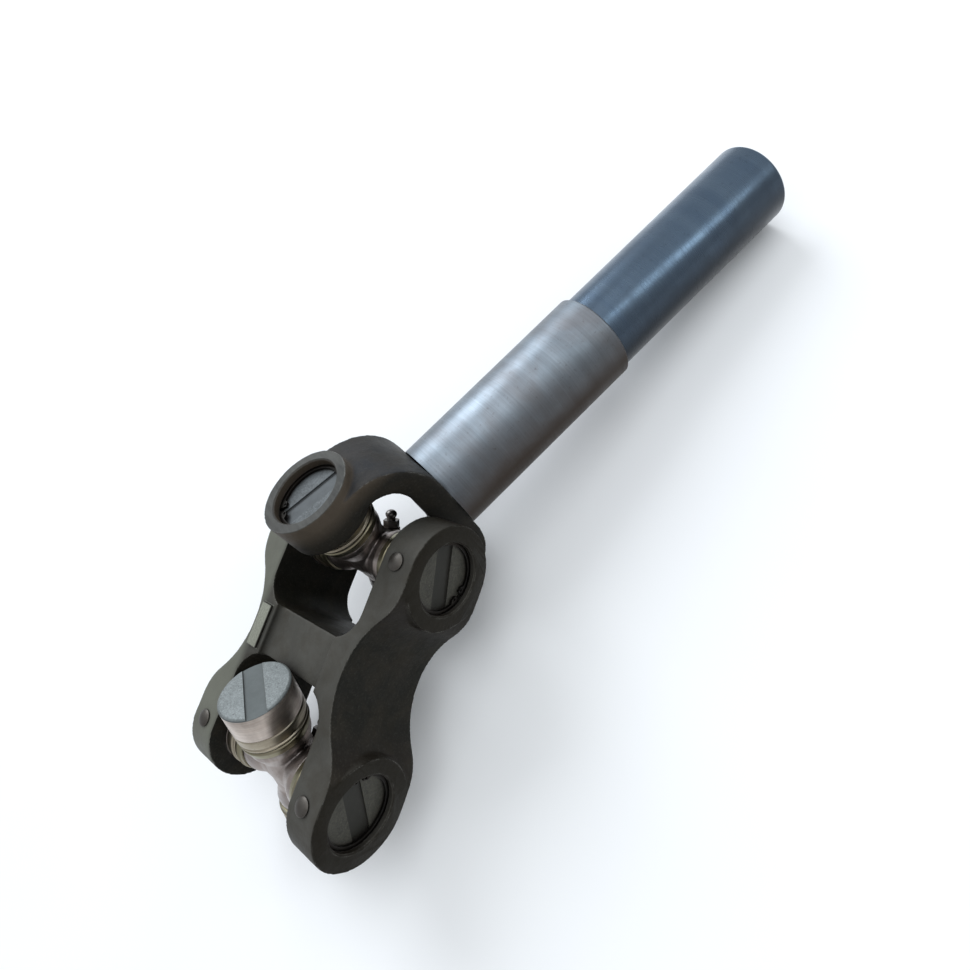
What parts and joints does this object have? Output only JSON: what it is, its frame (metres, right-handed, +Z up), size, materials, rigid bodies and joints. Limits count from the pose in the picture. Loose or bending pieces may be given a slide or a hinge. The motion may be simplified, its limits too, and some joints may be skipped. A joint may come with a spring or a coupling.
{
  "type": "universal joint shaft",
  "caption": "Short drive shaft with a forked yoke, a centre double yoke between two crosses, and loose bearing cups on the open end.",
  "frame": {"origin": "centre of the base of the bounding box, on the surface that the part lies on", "axes": "+Z up from that surface; +Y from the open double-yoke end towards the shaft end; X across the centre yoke, close to its trunnion axes"},
  "size_m": [0.2078, 0.482, 0.1342],
  "materials": {
    "centre_casting": "dark oily casting with machined ear faces",
    "fork_forging": "dark forging with machined ear rings",
    "sleeve_steel": "turned bright",
    "core_steel": "blue-black, glossy",
    "cross_steel": "forged body, ground trunnions",
    "nipple_steel": "dull",
    "cup_steel": "ground side, matt grained face",
    "seal_steel": "thin yellow zinc",
    "needle_steel": "ground",
    "zinc_ring": "yellow-green zinc",
    "spring_steel": "black oxide",
    "pin_steel": "dull, oily"
  },
  "bodies": {
    "centre_yoke": {"yoke_web": "centre_casting", "yoke_plate_right": "centre_casting", "yoke_plate_left": "centre_casting", "locking_pin_upper_right": "pin_steel", "locking_pin_upper_left": "pin_steel", "locking_pin_lower_right": "pin_steel", "locking_pin_lower_left": "pin_steel", "cup_upper_right": "cup_steel", "seal_cap_upper_right": "seal_steel", "needles_upper_right": "needle_steel", "cup_upper_left": "cup_steel", "seal_cap_upper_left": "seal_steel", "needles_upper_left": "needle_steel", "cup_lower_right": "cup_steel", "seal_cap_lower_right": "seal_steel", "needles_lower_right": "needle_steel", "cup_lower_left": "cup_steel", "seal_cap_lower_left": "seal_steel", "needles_lower_left": "needle_steel", "snap_ring_upper_right": "spring_steel", "snap_ring_upper_left": "spring_steel", "snap_ring_lower_right": "spring_steel", "snap_ring_lower_left": "spring_steel"},
    "upper_cross": {"cross_upper": "cross_steel", "grease_nipple_upper": "nipple_steel", "dust_ring_upper_right": "zinc_ring", "dust_ring_upper_left": "zinc_ring", "dust_ring_upper_front": "zinc_ring", "dust_ring_upper_rear": "zinc_ring"},
    "shaft": {"shaft_yoke": "fork_forging", "shaft_sleeve": "sleeve_steel", "shaft_core": "core_steel", "cup_upper_front": "cup_steel", "seal_cap_upper_front": "seal_steel", "needles_upper_front": "needle_steel", "cup_upper_rear": "cup_steel", "seal_cap_upper_rear": "seal_steel", "needles_upper_rear": "needle_steel", "snap_ring_upper_front": "spring_steel", "snap_ring_upper_rear": "spring_steel"},
    "lower_cross": {"cross_lower": "cross_steel", "grease_nipple_lower": "nipple_steel", "dust_ring_lower_right": "zinc_ring", "dust_ring_lower_left": "zinc_ring", "dust_ring_lower_front": "zinc_ring", "dust_ring_lower_rear": "zinc_ring"},
    "front_loose_cup": {"cup_lower_front": "cup_steel", "seal_cap_lower_front": "seal_steel", "needles_lower_front": "needle_steel"},
    "rear_loose_cup": {"cup_lower_rear": "cup_steel", "seal_cap_lower_rear": "seal_steel", "needles_lower_rear": "needle_steel"}
  },
  "joints": [
    {"name": "upper_cross_pivot", "type": "hinge", "parent": "centre_yoke", "child": "upper_cross", "pos_m": [-0.03855, -0.07148, 0.06711], "axis": [0.9871, -0.0071, 0.1599], "range_deg": [-13, 44]},
    {"name": "shaft_pivot", "type": "hinge", "parent": "upper_cross", "child": "shaft", "pos_m": [-0.03855, -0.07148, 0.06711], "axis": [0.1555, -0.1936, -0.9687], "range_deg": [-38, 1.5]},
    {"name": "lower_cross_pivot", "type": "hinge", "parent": "centre_yoke", "child": "lower_cross", "pos_m": [-0.03769, -0.1934, 0.05637], "axis": [0.9871, -0.0071, 0.1599], "range_deg": [0, 79]},
    {"name": "front_cup_spin", "type": "hinge", "parent": "lower_cross", "child": "front_loose_cup", "pos_m": [-0.03769, -0.1934, 0.05637], "axis": [-0.127, 0.5731, 0.8096], "continuous": true},
    {"name": "rear_cup_spin", "type": "hinge", "parent": "lower_cross", "child": "rear_loose_cup", "pos_m": [-0.03769, -0.1934, 0.05637], "axis": [0.127, -0.5731, -0.8096], "continuous": true}
  ]
}
